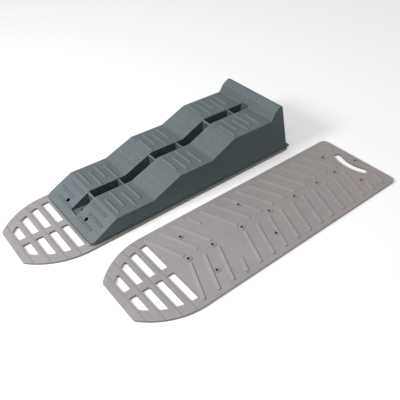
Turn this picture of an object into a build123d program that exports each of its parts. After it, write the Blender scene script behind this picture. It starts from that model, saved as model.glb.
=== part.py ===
"""Wheel levelling ramp standing on an anti-slip plate, with a second plate lying beside it.

Units are millimetres. +Z is up, the floor is z = 0, the slotted tips of the plates point
towards -Y and the end stop of the ramp is at the +Y end. The origin is on the floor, in the
middle of the ground that the three pieces cover together.
"""
import math
import os

from build123d import *

# layout on the floor
plate_pitch = 266        # between the centre lines of the two plates, along X
plate_stagger = 100      # how far the loose plate lies behind the other, along Y

# anti-slip plate, y measured from its tip
plate_width = 230
plate_length = 733
plate_thickness = 5
shoulder_y = 127         # where the curved sides of the tip become straight
tip_side_radius = 168
tip_corner_radius = 9
back_corner_radius = 15

# slots through the tip
slot_rows = 4
slot_row_pitch = 30.2
first_slot_y = 27.5      # middle of the first row
slot_width = 17.5
slot_web_half = 9.5      # half of the web left between the two columns
slot_inset = 24          # from the side of the tip to the ends of the slots
slot_corner_radius = 3.5
grip_lead = 5            # sloped strip ahead of each row
grip_back = 0.8          # steep step behind it
grip_depth = 1

# raised chevrons on the plate
chevron_rows = 16
first_chevron_y = 133.5  # back of the outer end of the first one
chevron_pitch = 37.7
chevron_inner_x = 12.5
chevron_short_x = 68     # inner end where the rib is cut short
chevron_outer_x = 103
chevron_rise = 36.5      # from outer end to inner end, along Y
chevron_front = 8        # width of the gentle front face
chevron_crest = 0.6      # width of the flat top
chevron_back = 0.6       # width of the steep back face
chevron_height = 1.7
chevron_root = 0.4       # chevrons start this far under the surface
short_chevrons = (3, 14, 15)

# holes in the plate
centre_hole_ys = (172, 237, 322, 407, 491, 571, 638, 718)
side_hole_ys = (197.5, 367, 664)
side_hole_x = 61.5
hole_radius = 2.25
hole_mouth_radius = 3.7
hole_mouth_depth = 4.8
centre_boss_radius = 8
side_boss_radius = 7
boss_height = 1.4
boss_draft = 35

# curved handle slot at the back of the plate
handle_half_span = 40    # middle to the centre of a rounded end
handle_middle_y = 692
handle_end_y = 701
handle_width = 21

# ramp, y measured from its toe and heights from its own underside
toe_y = 133              # the toe stands this far behind the tip of its plate
ramp_length = 596
ramp_half_width = 109
side_draft = 3.7         # degrees
wall = 3.2
foot_room = 4.2          # height of the upright hollow behind the feet of the walls
toe_height = 4
rest_heights = (40, 70, 100)
rest_fall = 2            # each rest is this much lower at its back than at its crest
crest_ys = (69, 243.5, 409.5)
valley_ys = (165, 338.5, 534)
stop_front = (546, 118)
stop_back = (571, 134.3)
toe_corner_radius = 12
crest_radius = 6
valley_radius = 10
stop_foot_radius = 5
stop_front_radius = 2.5
stop_back_radius = 8
side_edge_radius = 2.5   # along the tops of both side walls
rear_lip_depth = 7       # behind the foot of the back wall
rear_lip_height = 4
rear_lip_overhang = 3    # beyond the side walls

# centre trough of the ramp and its cross ribs
trough_half_width = 14
trough_start = 16
trough_end = 530
trough_depth = 32
trough_end_lean = 7      # the end wall leans back by this much ...
trough_end_rise = 36     # ... over this height
front_pocket_floor = 8   # its height above the underside
rib_ys = (65.5, 145, 236, 317, 405, 486)
rib_thickness = 3.6
rib_drop = 1.2           # rib tops lie this far below the tread
under_rib_x = 60         # lengthwise rib under each lane
under_rib_thickness = 3

# tread bars: on every slope and rest, in turn
bar_width = 8.5
bar_draft = 48
bar_root = 0.4           # bars start this far under the surface
bar_pitch = 21.6
long_bar = (16, 82)      # inner and outer end, from the centre line
offset_bar = (34, 96)
# surface number, distance of its first bar along it, number of bars, first bar is offset, height
bar_rows = (
    (0, 20, 3, False, 2.8),
    (1, 13, 4, True, 3),
    (2, 20, 3, False, 0.6),
    (3, 5.5, 4, False, 3),
    (4, 13, 3, False, 0.6),
    (5, 7, 5, True, 3),
)

# small openings in the toe end of the ramp
peg_hole_radius = 5
peg_hole_x = 43
peg_hole_y = 26
pocket_hole_y = 39       # over the first centre hole of the plate
toe_notch_radius = 3
toe_notch_xs = (-53, 32)

plate_half = plate_width / 2
side_centre_x = plate_half - tip_side_radius
chevron_lean = math.atan2(chevron_rise, chevron_outer_x - chevron_inner_x)
ground_length = plate_length + plate_stagger
ramp_base = plate_thickness + chevron_height
big = 300                # larger than any part of the ramp


def side_x(inset, y):
    """Half width of the tip at a height y, drawn in from its outline by inset."""
    return side_centre_x + math.sqrt((tip_side_radius - inset) ** 2 - (shoulder_y - y) ** 2)


def tip_outline(inset, front_y, back_y):
    """Right half of the plate's outline, drawn in from its curved side by inset."""
    front = (side_x(inset, front_y), front_y)
    shoulder = (plate_half - inset, shoulder_y)
    half_way = (front_y + shoulder_y) / 2
    Line((0, front_y), front)
    ThreePointArc(front, (side_x(inset, half_way), half_way), shoulder)
    Line(shoulder, (plate_half - inset, back_y))
    Line((plate_half - inset, back_y), (0, back_y))


tip_positions = {
    "plate_under_ramp": (-plate_pitch / 2, -ground_length / 2),
    "loose_plate": (plate_pitch / 2, plate_stagger - ground_length / 2),
}

os.makedirs("parts", exist_ok=True)

# two identical plates
for plate_name, (tip_x, tip_y) in tip_positions.items():
    floor = Plane((tip_x, tip_y, 0))
    top = floor.offset(plate_thickness)
    across = Plane(origin=(tip_x, tip_y, 0), x_dir=(0, 1, 0), z_dir=(1, 0, 0))

    # raised chevrons, wedges that rise slowly from the front and end in a steep back
    with BuildPart() as chevrons:
        for row in range(chevron_rows):
            inner_x = chevron_short_x if row in short_chevrons else chevron_inner_x
            along = Vector(math.cos(chevron_lean), -math.sin(chevron_lean))
            inner_y = first_chevron_y + row * chevron_pitch
            inner_y += (chevron_outer_x - inner_x) * math.tan(chevron_lean)
            section = Plane(
                origin=(tip_x + inner_x, tip_y + inner_y, plate_thickness),
                x_dir=(math.sin(chevron_lean), math.cos(chevron_lean), 0),
                z_dir=along,
            )
            with BuildSketch(section):
                Polygon(
                    (-chevron_front - chevron_crest, -chevron_root),
                    (-chevron_front - chevron_crest, 0),
                    (-chevron_crest, chevron_height),
                    (0, chevron_height),
                    (chevron_back, 0),
                    (chevron_back, -chevron_root),
                    align=None,
                )
            extrude(amount=(chevron_outer_x - inner_x) / math.cos(chevron_lean))
        mirror(about=across)

    with BuildPart() as plate:
        with BuildSketch(floor):
            with BuildLine():
                tip_outline(0, 0, plate_length)
                mirror(about=Plane.YZ)
            make_face()
            fillet(vertices().group_by(Axis.Y)[0], tip_corner_radius)
            fillet(vertices().group_by(Axis.Y)[-1], back_corner_radius)
        extrude(amount=plate_thickness)

        # sawtooth grip grooves across the tip, each sloping down to the front of a row of slots
        with BuildSketch(across):
            for row in range(slot_rows):
                front_y = first_slot_y + row * slot_row_pitch - slot_width / 2
                Polygon(
                    (front_y - grip_lead, plate_thickness),
                    (front_y, plate_thickness - grip_depth),
                    (front_y + grip_back, plate_thickness),
                    align=None,
                )
        extrude(amount=plate_half, both=True, mode=Mode.SUBTRACT)

        # slots, their outer ends following the sides of the tip
        with BuildSketch(floor):
            for row in range(slot_rows):
                slot_y = first_slot_y + row * slot_row_pitch
                with Locations((slot_web_half, slot_y)):
                    Rectangle(plate_half, slot_width, align=(Align.MIN, Align.CENTER))
            with BuildLine():
                tip_outline(slot_inset, first_slot_y - slot_width, shoulder_y + slot_width)
                Line((0, shoulder_y + slot_width), (0, first_slot_y - slot_width))
            make_face(mode=Mode.INTERSECT)
            fillet(vertices(), slot_corner_radius)
            mirror(about=Plane.YZ)
        extrude(amount=plate_thickness, mode=Mode.SUBTRACT)

        add(chevrons.part)

        # holes in low round bosses, along the centre line and in pairs beside it
        centre_holes = [(0, y) for y in centre_hole_ys]
        side_holes = [(side * side_hole_x, y) for y in side_hole_ys for side in (-1, 1)]
        with BuildSketch(top):
            with Locations(centre_holes):
                Circle(centre_boss_radius)
            with Locations(side_holes):
                Circle(side_boss_radius)
        extrude(amount=boss_height, taper=boss_draft)
        with Locations(top.offset(boss_height)):
            with Locations(centre_holes + side_holes):
                CounterBoreHole(hole_radius, hole_mouth_radius, hole_mouth_depth)

        # handle slot
        with BuildSketch(floor):
            with BuildLine():
                handle_arc = ThreePointArc(
                    (-handle_half_span, handle_end_y),
                    (0, handle_middle_y),
                    (handle_half_span, handle_end_y),
                )
            SlotArc(handle_arc, handle_width)
        extrude(amount=ramp_base, mode=Mode.SUBTRACT)

    plate.part.label = plate_name
    export_step(plate.part, f"parts/{plate_name}.step")
    print(plate_name, plate.part.is_valid, plate.part.volume / 1000)

# ramp, standing on the chevrons of its plate
toe_x, plate_tip_y = tip_positions["plate_under_ramp"]
toe = Vector(toe_x, plate_tip_y + toe_y, ramp_base)
ramp_floor = Plane(toe)
side_view = Plane(origin=toe, x_dir=(0, 1, 0), z_dir=(1, 0, 0))

crests = list(zip(crest_ys, rest_heights))
valleys = [(y, height - rest_fall) for y, height in zip(valley_ys, rest_heights)]
tread = [(0, toe_height)]
for crest, valley in zip(crests, valleys):
    tread += [crest, valley]
rounded_corners = [(point, crest_radius) for point in crests]
rounded_corners += [(point, valley_radius) for point in valleys[:-1]]
rounded_corners += [(valleys[-1], stop_foot_radius)]
rounded_corners += [(stop_front, stop_front_radius), (stop_back, stop_back_radius)]


def footprint(inset):
    """Outline of the foot of the ramp's walls, drawn in by inset, as a sketch."""
    with Locations((0, inset)):
        Rectangle(
            2 * (ramp_half_width - inset),
            ramp_length - 2 * inset,
            align=(Align.CENTER, Align.MIN),
        )
    fillet(vertices().group_by(Axis.Y)[0], toe_corner_radius - inset)


def side_outline():
    """Outline of the ramp seen from its side, its first slope drawn past the toe, as a sketch."""
    fall = (rest_heights[0] - toe_height) / crest_ys[0]
    ahead = (-wall, toe_height - wall * fall)
    Polygon((-wall, 0), ahead, *tread[1:], stop_front, stop_back, (ramp_length, 0), align=None)
    for point, radius in rounded_corners:
        fillet(vertices().sort_by_distance(point)[0], radius)


def space_above_tread(drop, start, end):
    """Side view of the room above the lowered tread, from start to a leaning end, as a sketch."""
    lowered = [(y, height - drop) for y, height in tread[:-1]]
    end_z = tread[-1][1] - drop
    end_wall = [(end, end_z), (end + trough_end_lean, end_z + trough_end_rise)]
    Polygon((0, big), (0, -big), *lowered, *end_wall, (end + trough_end_lean, big), align=None)
    Rectangle(start, 2 * big, align=(Align.MIN, Align.CENTER), mode=Mode.SUBTRACT)


def front_pocket(gap):
    """Side view of the level-floored pocket in the first slope, grown by gap, as a sketch."""
    with Locations((trough_start - gap, front_pocket_floor - gap)):
        Rectangle(rib_ys[0] - rib_thickness / 2 - trough_start + gap, big, align=(Align.MIN, Align.MIN))


with BuildPart() as hollow:
    # the room inside the outer walls, open below
    with BuildSketch(ramp_floor):
        footprint(wall)
    extrude(amount=big / 2, taper=side_draft)
    with BuildSketch(side_view):
        side_outline()
        offset(amount=-wall, mode=Mode.REPLACE)
        with Locations((wall, 0)):
            Rectangle(ramp_length - 2 * wall, foot_room, align=(Align.MIN, Align.MIN))
    extrude(amount=ramp_half_width, both=True, mode=Mode.INTERSECT)
    # the pan of the trough hangs into it
    with BuildSketch(side_view):
        front_pocket(wall)
    extrude(amount=trough_half_width + wall, both=True, mode=Mode.SUBTRACT)
    with BuildSketch(side_view):
        space_above_tread(trough_depth + wall, rib_ys[0] - rib_thickness / 2, trough_end + wall)
    extrude(amount=trough_half_width + wall, both=True, mode=Mode.SUBTRACT)
    # ribs that reach down to the underside, with one wide room left behind the last of them
    with BuildSketch(ramp_floor):
        with Locations([(0, y) for y in rib_ys]):
            Rectangle(2 * ramp_half_width, under_rib_thickness)
        rib_x = trough_half_width + wall / 2
        with Locations([(x, 0) for x in (-under_rib_x, -rib_x, rib_x, under_rib_x)]):
            Rectangle(under_rib_thickness, rib_ys[-1], align=(Align.CENTER, Align.MIN))
    extrude(amount=big, mode=Mode.SUBTRACT)

with BuildPart() as ramp:
    # drafted side walls under the stepped back
    with BuildSketch(ramp_floor):
        footprint(0)
    extrude(amount=big / 2, taper=side_draft)
    with BuildSketch(side_view):
        side_outline()
    extrude(amount=ramp_half_width, both=True, mode=Mode.INTERSECT)
    # round their top edges, which run on from the edges beside the first rest without a corner
    rest_start = toe.Y + crest_ys[0] + crest_radius
    rest_end = toe.Y + valley_ys[0] - valley_radius
    rest_edges = ramp.edges().filter_by_position(Axis.Y, rest_start, rest_end)
    fillet(rest_edges, side_edge_radius)

    # lip behind the foot of the back wall
    with BuildSketch(ramp_floor):
        with Locations((0, ramp_length + rear_lip_depth)):
            Rectangle(
                2 * (ramp_half_width + rear_lip_overhang),
                2 * rear_lip_depth,
                align=(Align.CENTER, Align.MAX),
            )
            fillet(vertices(), rear_lip_overhang)
    extrude(amount=rear_lip_height)

    # tread bars, staggered in both lanes
    for surface, first, count, offset_first, height in bar_rows:
        (start_y, start_z), (end_y, end_z) = tread[surface], tread[surface + 1]
        surface_plane = Plane(
            origin=toe + Vector(0, start_y, start_z),
            x_dir=(1, 0, 0),
            z_dir=(0, start_z - end_z, end_y - start_y),
        )
        with BuildSketch(surface_plane.offset(-bar_root)):
            for number in range(count):
                inner, outer = offset_bar if (number % 2 == 0) == offset_first else long_bar
                with Locations(((inner + outer) / 2, first + number * bar_pitch)):
                    SlotOverall(outer - inner, bar_width)
            mirror(about=Plane.YZ)
        extrude(amount=height + bar_root, taper=bar_draft)

    # trough with its cross ribs, and the pocket in front of the first rib
    with BuildSketch(side_view):
        front_pocket(0)
    extrude(amount=trough_half_width, both=True, mode=Mode.SUBTRACT)
    with BuildSketch(side_view):
        space_above_tread(trough_depth, rib_ys[0], trough_end)
        with Locations([(y, 0) for y in rib_ys]):
            Rectangle(rib_thickness, 2 * big, mode=Mode.SUBTRACT)
    extrude(amount=trough_half_width, both=True, mode=Mode.SUBTRACT)
    with BuildSketch(side_view):
        space_above_tread(rib_drop, trough_start, trough_end)
    extrude(amount=trough_half_width, both=True, mode=Mode.SUBTRACT)

    add(hollow.part, mode=Mode.SUBTRACT)

    # peg holes through the first slope and through the floor of the pocket
    with BuildSketch(ramp_floor):
        with Locations((-peg_hole_x, peg_hole_y), (0, pocket_hole_y), (peg_hole_x, peg_hole_y)):
            Circle(peg_hole_radius)
    extrude(amount=big, mode=Mode.SUBTRACT)
    # small notches under the toe
    with BuildSketch(ramp_floor):
        with Locations([(x, 0) for x in toe_notch_xs]):
            Circle(toe_notch_radius)
    extrude(amount=toe_height / 2, mode=Mode.SUBTRACT)

ramp.part.label = "ramp"
export_step(ramp.part, "parts/ramp.step")
print("ramp", ramp.part.is_valid, len(ramp.part.solids()), ramp.part.volume / 1000)
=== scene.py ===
import bpy
from mathutils import Matrix, Vector

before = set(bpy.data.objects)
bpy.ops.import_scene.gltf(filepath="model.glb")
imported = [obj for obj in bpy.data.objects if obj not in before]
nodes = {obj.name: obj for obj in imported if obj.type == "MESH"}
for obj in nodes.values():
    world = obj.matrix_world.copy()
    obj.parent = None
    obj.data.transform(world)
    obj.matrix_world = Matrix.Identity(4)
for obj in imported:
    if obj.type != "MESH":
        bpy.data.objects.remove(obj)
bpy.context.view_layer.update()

# ---------------------------------------------------------------- camera
CAMERA_AT = Vector((0.69854, -0.55888, 0.76047))
LOOKING = Vector((-0.59799, 0.47209, -0.64772))
UP = Vector((-0.50071, 0.41100, 0.76182))
LENS = 44.31
SENSOR_WIDTH = 36.0
FARTHEST_SEEN = 50.0  # past the edge of the floor


def add_camera():
    data = bpy.data.cameras.new("camera")
    data.lens = LENS
    data.sensor_width = SENSOR_WIDTH
    data.sensor_fit = "HORIZONTAL"
    data.clip_end = FARTHEST_SEEN
    camera = bpy.data.objects.new("camera", data)
    bpy.context.scene.collection.objects.link(camera)
    back = -LOOKING.normalized()
    right = UP.cross(back).normalized()
    up = back.cross(right)
    camera.matrix_world = Matrix.Translation(CAMERA_AT) @ Matrix((right, up, back)).transposed().to_4x4()
    bpy.context.scene.camera = camera


# ---------------------------------------------------------------- floor and light
FLOOR_HALF = 12.0
FLOOR_DROP = 0.0004  # keeps the floor clear of the undersides of the plates
FLOOR_ALBEDO = 0.9
FLOOR_ROUGHNESS = 0.9
FLOOR_GLOW = 0.22  # lifts the paper sweep to white, as a lit studio floor is
SKY = 0.58
KEY_AT = (-0.35, -1.5, 1.15)
KEY_SIZE = 0.5
KEY_POWER = 27
KEY_TARGET = (-0.05, -0.05, 0.05)
WHITE = (1, 1, 1, 1)


def add_floor():
    mesh = bpy.data.meshes.new("floor")
    half = FLOOR_HALF
    corners = [(-half, -half, 0), (half, -half, 0), (half, half, 0), (-half, half, 0)]
    mesh.from_pydata(corners, [], [(0, 1, 2, 3)])
    floor = bpy.data.objects.new("floor", mesh)
    bpy.context.scene.collection.objects.link(floor)
    floor.location.z = -FLOOR_DROP
    material = bpy.data.materials.new("floor")
    material.use_nodes = True
    shader = material.node_tree.nodes["Principled BSDF"]
    shader.inputs["Base Color"].default_value = (FLOOR_ALBEDO, FLOOR_ALBEDO, FLOOR_ALBEDO, 1)
    shader.inputs["Roughness"].default_value = FLOOR_ROUGHNESS
    shader.inputs["Emission Color"].default_value = WHITE
    shader.inputs["Emission Strength"].default_value = FLOOR_GLOW
    floor.data.materials.append(material)


def add_area(name, at, size, power, target):
    data = bpy.data.lights.new(name, "AREA")
    data.size = size
    data.energy = power
    lamp = bpy.data.objects.new(name, data)
    lamp.location = at
    lamp.rotation_euler = (Vector(target) - Vector(at)).to_track_quat("-Z", "Y").to_euler()
    bpy.context.scene.collection.objects.link(lamp)


def set_world(strength):
    world = bpy.data.worlds.new("studio")
    world.use_nodes = True
    background = world.node_tree.nodes["Background"]
    background.inputs["Color"].default_value = WHITE
    background.inputs["Strength"].default_value = strength
    bpy.context.scene.world = world


# ---------------------------------------------------------------- moulded plastic
# noises, in waves per metre, and how finely each is detailed
CLOUD = (7.0, 3.0)
MOTTLE = (95.0, 4.0)
GRAIN = (900.0, 3.0)
NOISE_ROUGHNESS = 0.6
MIDDLE = (0.3, 0.7)  # most of a noise's values lie between these

# how far each noise lightens and darkens the colour
CLOUD_SHADE = 0.06
MOTTLE_SHADE = 0.045
GRAIN_SHADE = 0.06

# scuffs run along Y, where the wheels roll
SCUFF_WAVES = (520.0, 22.0, 160.0)
SCUFF_DETAIL = 2.0
SCUFF_RANGE = (0.60, 0.78)
SCUFF_STRENGTH = 0.35
SCUFF_POLISH = 0.08

WALL_TO_TOP = (0.15, 0.80)   # upward part of the normal, from a wall (painted wall shade) to a top
TINTED_BACK = (-0.15, 0.25)  # along Y, metres
TINT_PATCHES = (0.38, 0.58)
LEAST_TINT = 0.3

# edges and hollows, with reaches in metres
EDGE_ROUNDING = 0.0011
EDGE_WEAR_SHEEN_REACH = 0.0024
CREASE_REACH = 0.006
DEEP_REACH = 0.030
SAMPLES = 6
EDGE_WEAR_SHEEN_TURN = (0.997, 0.95)    # how well the two normals agree, from a plain face to a fully lightened edge
EDGE_WEAR_SHEEN_OPEN = (0.86, 0.97)
EDGE_WEAR_SHEEN_PATCHES = (0.30, 0.60)
LEAST_EDGE_WEAR_SHEEN = 0.35
EDGE_WEAR_SHEEN_STRENGTH = 0.85
DEEP_OPEN = (0.25, 0.85)
CREASE_OPEN = (0.50, 0.88)
CREASE_OUTSIDE = (0.45, 0.75)  # keeps the painted crease shade out of the deep hollows
CREASE_PATCHES = (0.25, 0.70)
LEAST_CREASE_SHADE = 0.7
CREASE_SHADE_STRENGTH = 0.8

ROUGHNESS_SPREAD = 0.07
GRAIN_RELIEF = 0.7
MOTTLE_RELIEF = 0.9


class Nodes:
    """Adds nodes to a material's tree, a value or a socket at a time."""

    def __init__(self, material):
        self.tree = material.node_tree

    def put(self, node, name, value):
        if isinstance(value, bpy.types.NodeSocket):
            self.tree.links.new(value, node.inputs[name])
        else:
            node.inputs[name].default_value = value

    def add(self, kind, inputs=None, **settings):
        node = self.tree.nodes.new(kind)
        for key, value in settings.items():
            setattr(node, key, value)
        for name, value in (inputs or {}).items():
            self.put(node, name, value)
        return node

    def noise(self, where, scale, detail):
        inputs = {"Vector": where, "Scale": scale, "Detail": detail, "Roughness": NOISE_ROUGHNESS}
        return self.add("ShaderNodeTexNoise", inputs).outputs["Fac"]

    def between(self, value, limits, to_low=0.0, to_high=1.0):
        low, high = limits
        inputs = {"Value": value, "From Min": low, "From Max": high, "To Min": to_low, "To Max": to_high}
        return self.add("ShaderNodeMapRange", inputs).outputs["Result"]

    def times(self, a, b):
        return self.add("ShaderNodeMath", {0: a, 1: b}, operation="MULTIPLY").outputs[0]

    def plus(self, a, b):
        return self.add("ShaderNodeMath", {0: a, 1: b}, operation="ADD").outputs[0]

    def mix(self, amount, a, b):
        return self.add("ShaderNodeMix", {0: amount, 6: a, 7: b}, data_type="RGBA").outputs[2]

    def scaled(self, colour, amount):
        return self.add("ShaderNodeVectorMath", {0: colour, 3: amount}, operation="SCALE").outputs[0]

    def agreement(self, a, b):
        return self.add("ShaderNodeVectorMath", {0: a, 1: b}, operation="DOT_PRODUCT").outputs["Value"]

    def part(self, vector, axis):
        return self.add("ShaderNodeSeparateXYZ", {0: vector}).outputs[axis]

    def rounded(self, radius):
        return self.add("ShaderNodeBevel", {"Radius": radius}, samples=SAMPLES).outputs["Normal"]

    def openness(self, reach):
        return self.add("ShaderNodeAmbientOcclusion", {"Distance": reach}, samples=SAMPLES).outputs["AO"]


def moulded(name, base, tint, wall_shade_colour, wear_and_sheen_colour, deep_tone_colour, crease_shade_colour, roughness, grain_height):
    """Matt moulded plastic: grain, mottling and scuffs on top, darker walls and creases as painted
    shade, edges lightened by wear and a painted highlight, and deep hollows recoloured (painted light on
    the ramp, painted shade on the plates).
    """
    material = bpy.data.materials.new(name)
    material.use_nodes = True
    n = Nodes(material)
    shader = material.node_tree.nodes["Principled BSDF"]
    where = n.add("ShaderNodeTexCoord").outputs["Object"]
    normal = n.add("ShaderNodeNewGeometry").outputs["Normal"]

    cloud = n.noise(where, *CLOUD)
    mottle = n.noise(where, *MOTTLE)
    grain = n.noise(where, *GRAIN)
    stretched = n.add("ShaderNodeMapping", {"Vector": where, "Scale": SCUFF_WAVES}).outputs["Vector"]
    scuffs = n.between(n.noise(stretched, 1.0, SCUFF_DETAIL), SCUFF_RANGE)

    # faces that look up take the base colour and the scuffs; walls take a darker colour, painted shade
    on_top = n.between(n.part(normal, "Z"), WALL_TO_TOP)

    # edges are lightened where a widely rounded normal turns away from the true one: partly wear, partly
    # a painted highlight on the bars and folds
    on_edge = n.between(n.agreement(n.rounded(EDGE_WEAR_SHEEN_REACH), normal), EDGE_WEAR_SHEEN_TURN)
    open_air = n.openness(CREASE_REACH)
    edge_wear_and_sheen = n.times(n.times(on_edge, n.between(open_air, EDGE_WEAR_SHEEN_OPEN)), on_top)
    edge_wear_and_sheen = n.times(edge_wear_and_sheen, n.between(mottle, EDGE_WEAR_SHEEN_PATCHES, LEAST_EDGE_WEAR_SHEEN, 1.0))

    # deep hollows are recoloured by how enclosed they are: on the ramp this lifts the trough's dark
    # walls, painted light, and on the plates it darkens them, painted shade; creases outside them get
    # painted shade
    outside = n.openness(DEEP_REACH)
    deep_tone_mask = n.between(outside, DEEP_OPEN, 1.0, 0.0)
    crease_shade_mask = n.between(open_air, CREASE_OPEN, 1.0, 0.0)
    crease_shade_mask = n.times(crease_shade_mask, n.between(mottle, CREASE_PATCHES, LEAST_CREASE_SHADE, 1.0))
    crease_shade_mask = n.times(crease_shade_mask, n.between(outside, CREASE_OUTSIDE))

    patches = n.between(cloud, TINT_PATCHES, LEAST_TINT, 1.0)
    tinted = n.times(n.between(n.part(where, "Y"), TINTED_BACK), patches)
    # walls take the darker wall colour: painted shade
    colour = n.mix(on_top, wall_shade_colour, n.mix(tinted, base, tint))
    shade = n.between(cloud, MIDDLE, -CLOUD_SHADE, CLOUD_SHADE)
    shade = n.plus(shade, n.between(mottle, MIDDLE, -MOTTLE_SHADE, MOTTLE_SHADE))
    shade = n.plus(shade, n.between(grain, MIDDLE, 1 - GRAIN_SHADE, 1 + GRAIN_SHADE))
    colour = n.scaled(colour, shade)
    colour = n.mix(n.times(n.times(scuffs, on_top), SCUFF_STRENGTH), colour, wear_and_sheen_colour)
    # lighter edges: wear, and a painted highlight along the bars and folds
    colour = n.mix(n.times(edge_wear_and_sheen, EDGE_WEAR_SHEEN_STRENGTH), colour, wear_and_sheen_colour)
    # deep hollows recoloured: painted light in the ramp's trough, painted shade on the plates
    colour = n.mix(deep_tone_mask, colour, deep_tone_colour)
    # painted shade in creases, patchy with the mottling
    colour = n.mix(n.times(crease_shade_mask, CREASE_SHADE_STRENGTH), colour, crease_shade_colour)
    n.put(shader, "Base Color", colour)

    matt = n.between(mottle, MIDDLE, roughness - ROUGHNESS_SPREAD, roughness + ROUGHNESS_SPREAD)
    n.put(shader, "Roughness", n.plus(matt, n.times(scuffs, -SCUFF_POLISH)))
    relief = n.plus(n.times(grain, GRAIN_RELIEF), n.times(mottle, MOTTLE_RELIEF))
    inputs = {"Distance": grain_height, "Height": relief, "Normal": n.rounded(EDGE_ROUNDING)}
    n.put(shader, "Normal", n.add("ShaderNodeBump", inputs).outputs["Normal"])
    return material


add_camera()
add_floor()
add_area("key", KEY_AT, KEY_SIZE, KEY_POWER, KEY_TARGET)
set_world(SKY)
bpy.context.scene.view_settings.view_transform = "Standard"

ramp_plastic = moulded(
    "ramp_plastic",
    base=(0.122, 0.146, 0.157, 1),
    tint=(0.116, 0.144, 0.152, 1),
    wall_shade_colour=(0.043, 0.068, 0.075, 1),
    wear_and_sheen_colour=(0.26, 0.29, 0.305, 1),
    deep_tone_colour=(0.108, 0.136, 0.146, 1),
    crease_shade_colour=(0.045, 0.060, 0.065, 1),
    roughness=0.58,
    grain_height=0.00022,
)
plate_plastic = moulded(
    "plate_plastic",
    base=(0.334, 0.312, 0.318, 1),
    tint=(0.335, 0.300, 0.288, 1),
    wall_shade_colour=(0.24, 0.215, 0.205, 1),
    wear_and_sheen_colour=(0.42, 0.395, 0.39, 1),
    deep_tone_colour=(0.16, 0.14, 0.13, 1),
    crease_shade_colour=(0.055, 0.048, 0.045, 1),
    roughness=0.62,
    grain_height=0.00020,
)
looks = {"ramp": ramp_plastic, "plate_under_ramp": plate_plastic, "loose_plate": plate_plastic}
for name, material in looks.items():
    for each in nodes[name].material_slots:
        each.material = material

bpy.context.view_layer.update()
